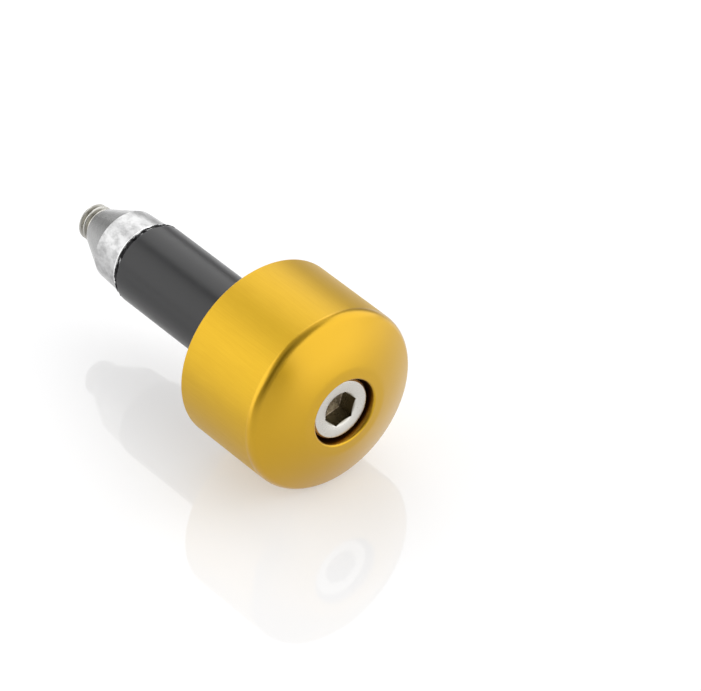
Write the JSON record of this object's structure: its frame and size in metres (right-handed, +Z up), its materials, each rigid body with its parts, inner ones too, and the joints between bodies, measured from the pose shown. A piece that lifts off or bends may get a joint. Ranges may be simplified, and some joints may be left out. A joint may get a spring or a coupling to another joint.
{
  "type": "bar end weight",
  "caption": "Domed, gold-anodised weight for the open end of a handlebar, held by a socket head screw that draws a cone nut against a rubber bush.",
  "frame": {"origin": "centre of the weight's back face, where the handlebar's end meets it", "axes": "+X along the handlebar's axis, out of the bar, and +Z up"},
  "size_m": [0.0625, 0.03, 0.03],
  "materials": {
    "gold_anodised": "fine turned, satin, gold anodised",
    "stainless": "plain stainless steel, satin head",
    "rubber": "smooth satin black",
    "bare_aluminium": "bare, slightly mottled"
  },
  "bodies": {
    "weight_and_bush": {"weight": "gold_anodised", "rubber_bush": "rubber"},
    "screw": {"clamp_screw": "stainless"},
    "nut": {"cone_nut": "bare_aluminium"}
  },
  "joints": [
    {"name": "screw_turn", "type": "hinge", "parent": "weight_and_bush", "child": "screw", "pos_m": [0, 0, 0], "axis": [-1, 0, 0], "range_deg": [0, 1260]},
    {"name": "nut_travel", "type": "slide", "parent": "weight_and_bush", "child": "nut", "axis": [1, 0, 0], "range_m": [0, 0.0035], "deforming": ["rubber_bush"]}
  ],
  "couplings": [
    {"joint": "nut_travel", "follows": "screw_turn", "m_per_rad": 0.00015915}
  ]
}
